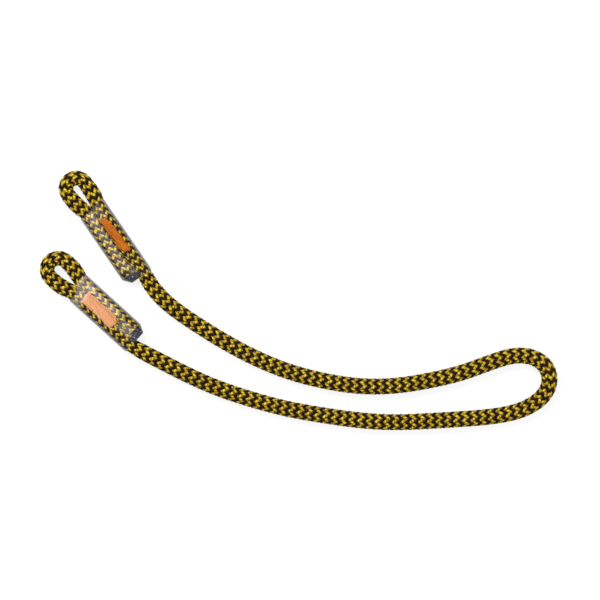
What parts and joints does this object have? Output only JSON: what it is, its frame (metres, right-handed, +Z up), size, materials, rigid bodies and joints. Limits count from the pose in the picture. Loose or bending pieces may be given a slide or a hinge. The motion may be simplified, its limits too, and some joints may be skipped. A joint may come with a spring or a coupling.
{
  "type": "tree climbing lanyard",
  "caption": "Short braided rope with a sewn eye at each end, each seam under a clear shrink sleeve, bent into a U; used as a friction hitch cord or lanyard.",
  "frame": {"origin": "the middle of the U's outline, on the surface that it lies on", "axes": "+Z up from that surface, +X from the two eyes towards the bight, +Y from leg b towards leg a"},
  "size_m": [0.3323, 0.1665, 0.0119],
  "materials": {
    "rope_cover": "braided polyester in yellow and black, dry and slightly glossy",
    "rope_core": "white twisted yarns",
    "sleeve": "clear shrink film with a slight grey haze",
    "thread": "bonded orange sewing thread",
    "seal": "melted rope end, dark and glassy"
  },
  "bodies": {
    "leg_b": {"leg_b_rope_cover": "rope_cover", "leg_b_rope_core": "rope_core"},
    "leg_a": {"leg_a_rope_cover": "rope_cover", "leg_a_rope_core": "rope_core"},
    "eye_a": {"eye_a_rope_cover": "rope_cover", "eye_a_rope_core": "rope_core", "eye_a_sleeve": "sleeve", "eye_a_needle_thread": "thread", "eye_a_bobbin_thread": "thread", "eye_a_tail_seal": "seal"},
    "eye_b": {"eye_b_rope_cover": "rope_cover", "eye_b_rope_core": "rope_core", "eye_b_sleeve": "sleeve", "eye_b_needle_thread": "thread", "eye_b_bobbin_thread": "thread", "eye_b_tail_seal": "seal"}
  },
  "joints": [
    {"name": "bight_bend", "type": "hinge", "parent": "leg_b", "child": "leg_a", "pos_m": [0.1609, -0.0517, 0.005], "axis": [0, 0, 1], "range_deg": [-35, 1]},
    {"name": "eye_a_swing", "type": "hinge", "parent": "leg_a", "child": "eye_a", "pos_m": [-0.0962, 0.0117, 0.00595], "axis": [0, 0, 1], "range_deg": [-35, 4]},
    {"name": "eye_b_swing", "type": "hinge", "parent": "leg_b", "child": "eye_b", "pos_m": [-0.1003, -0.0329, 0.00595], "axis": [0, 0, 1], "range_deg": [-4, 35]}
  ]
}
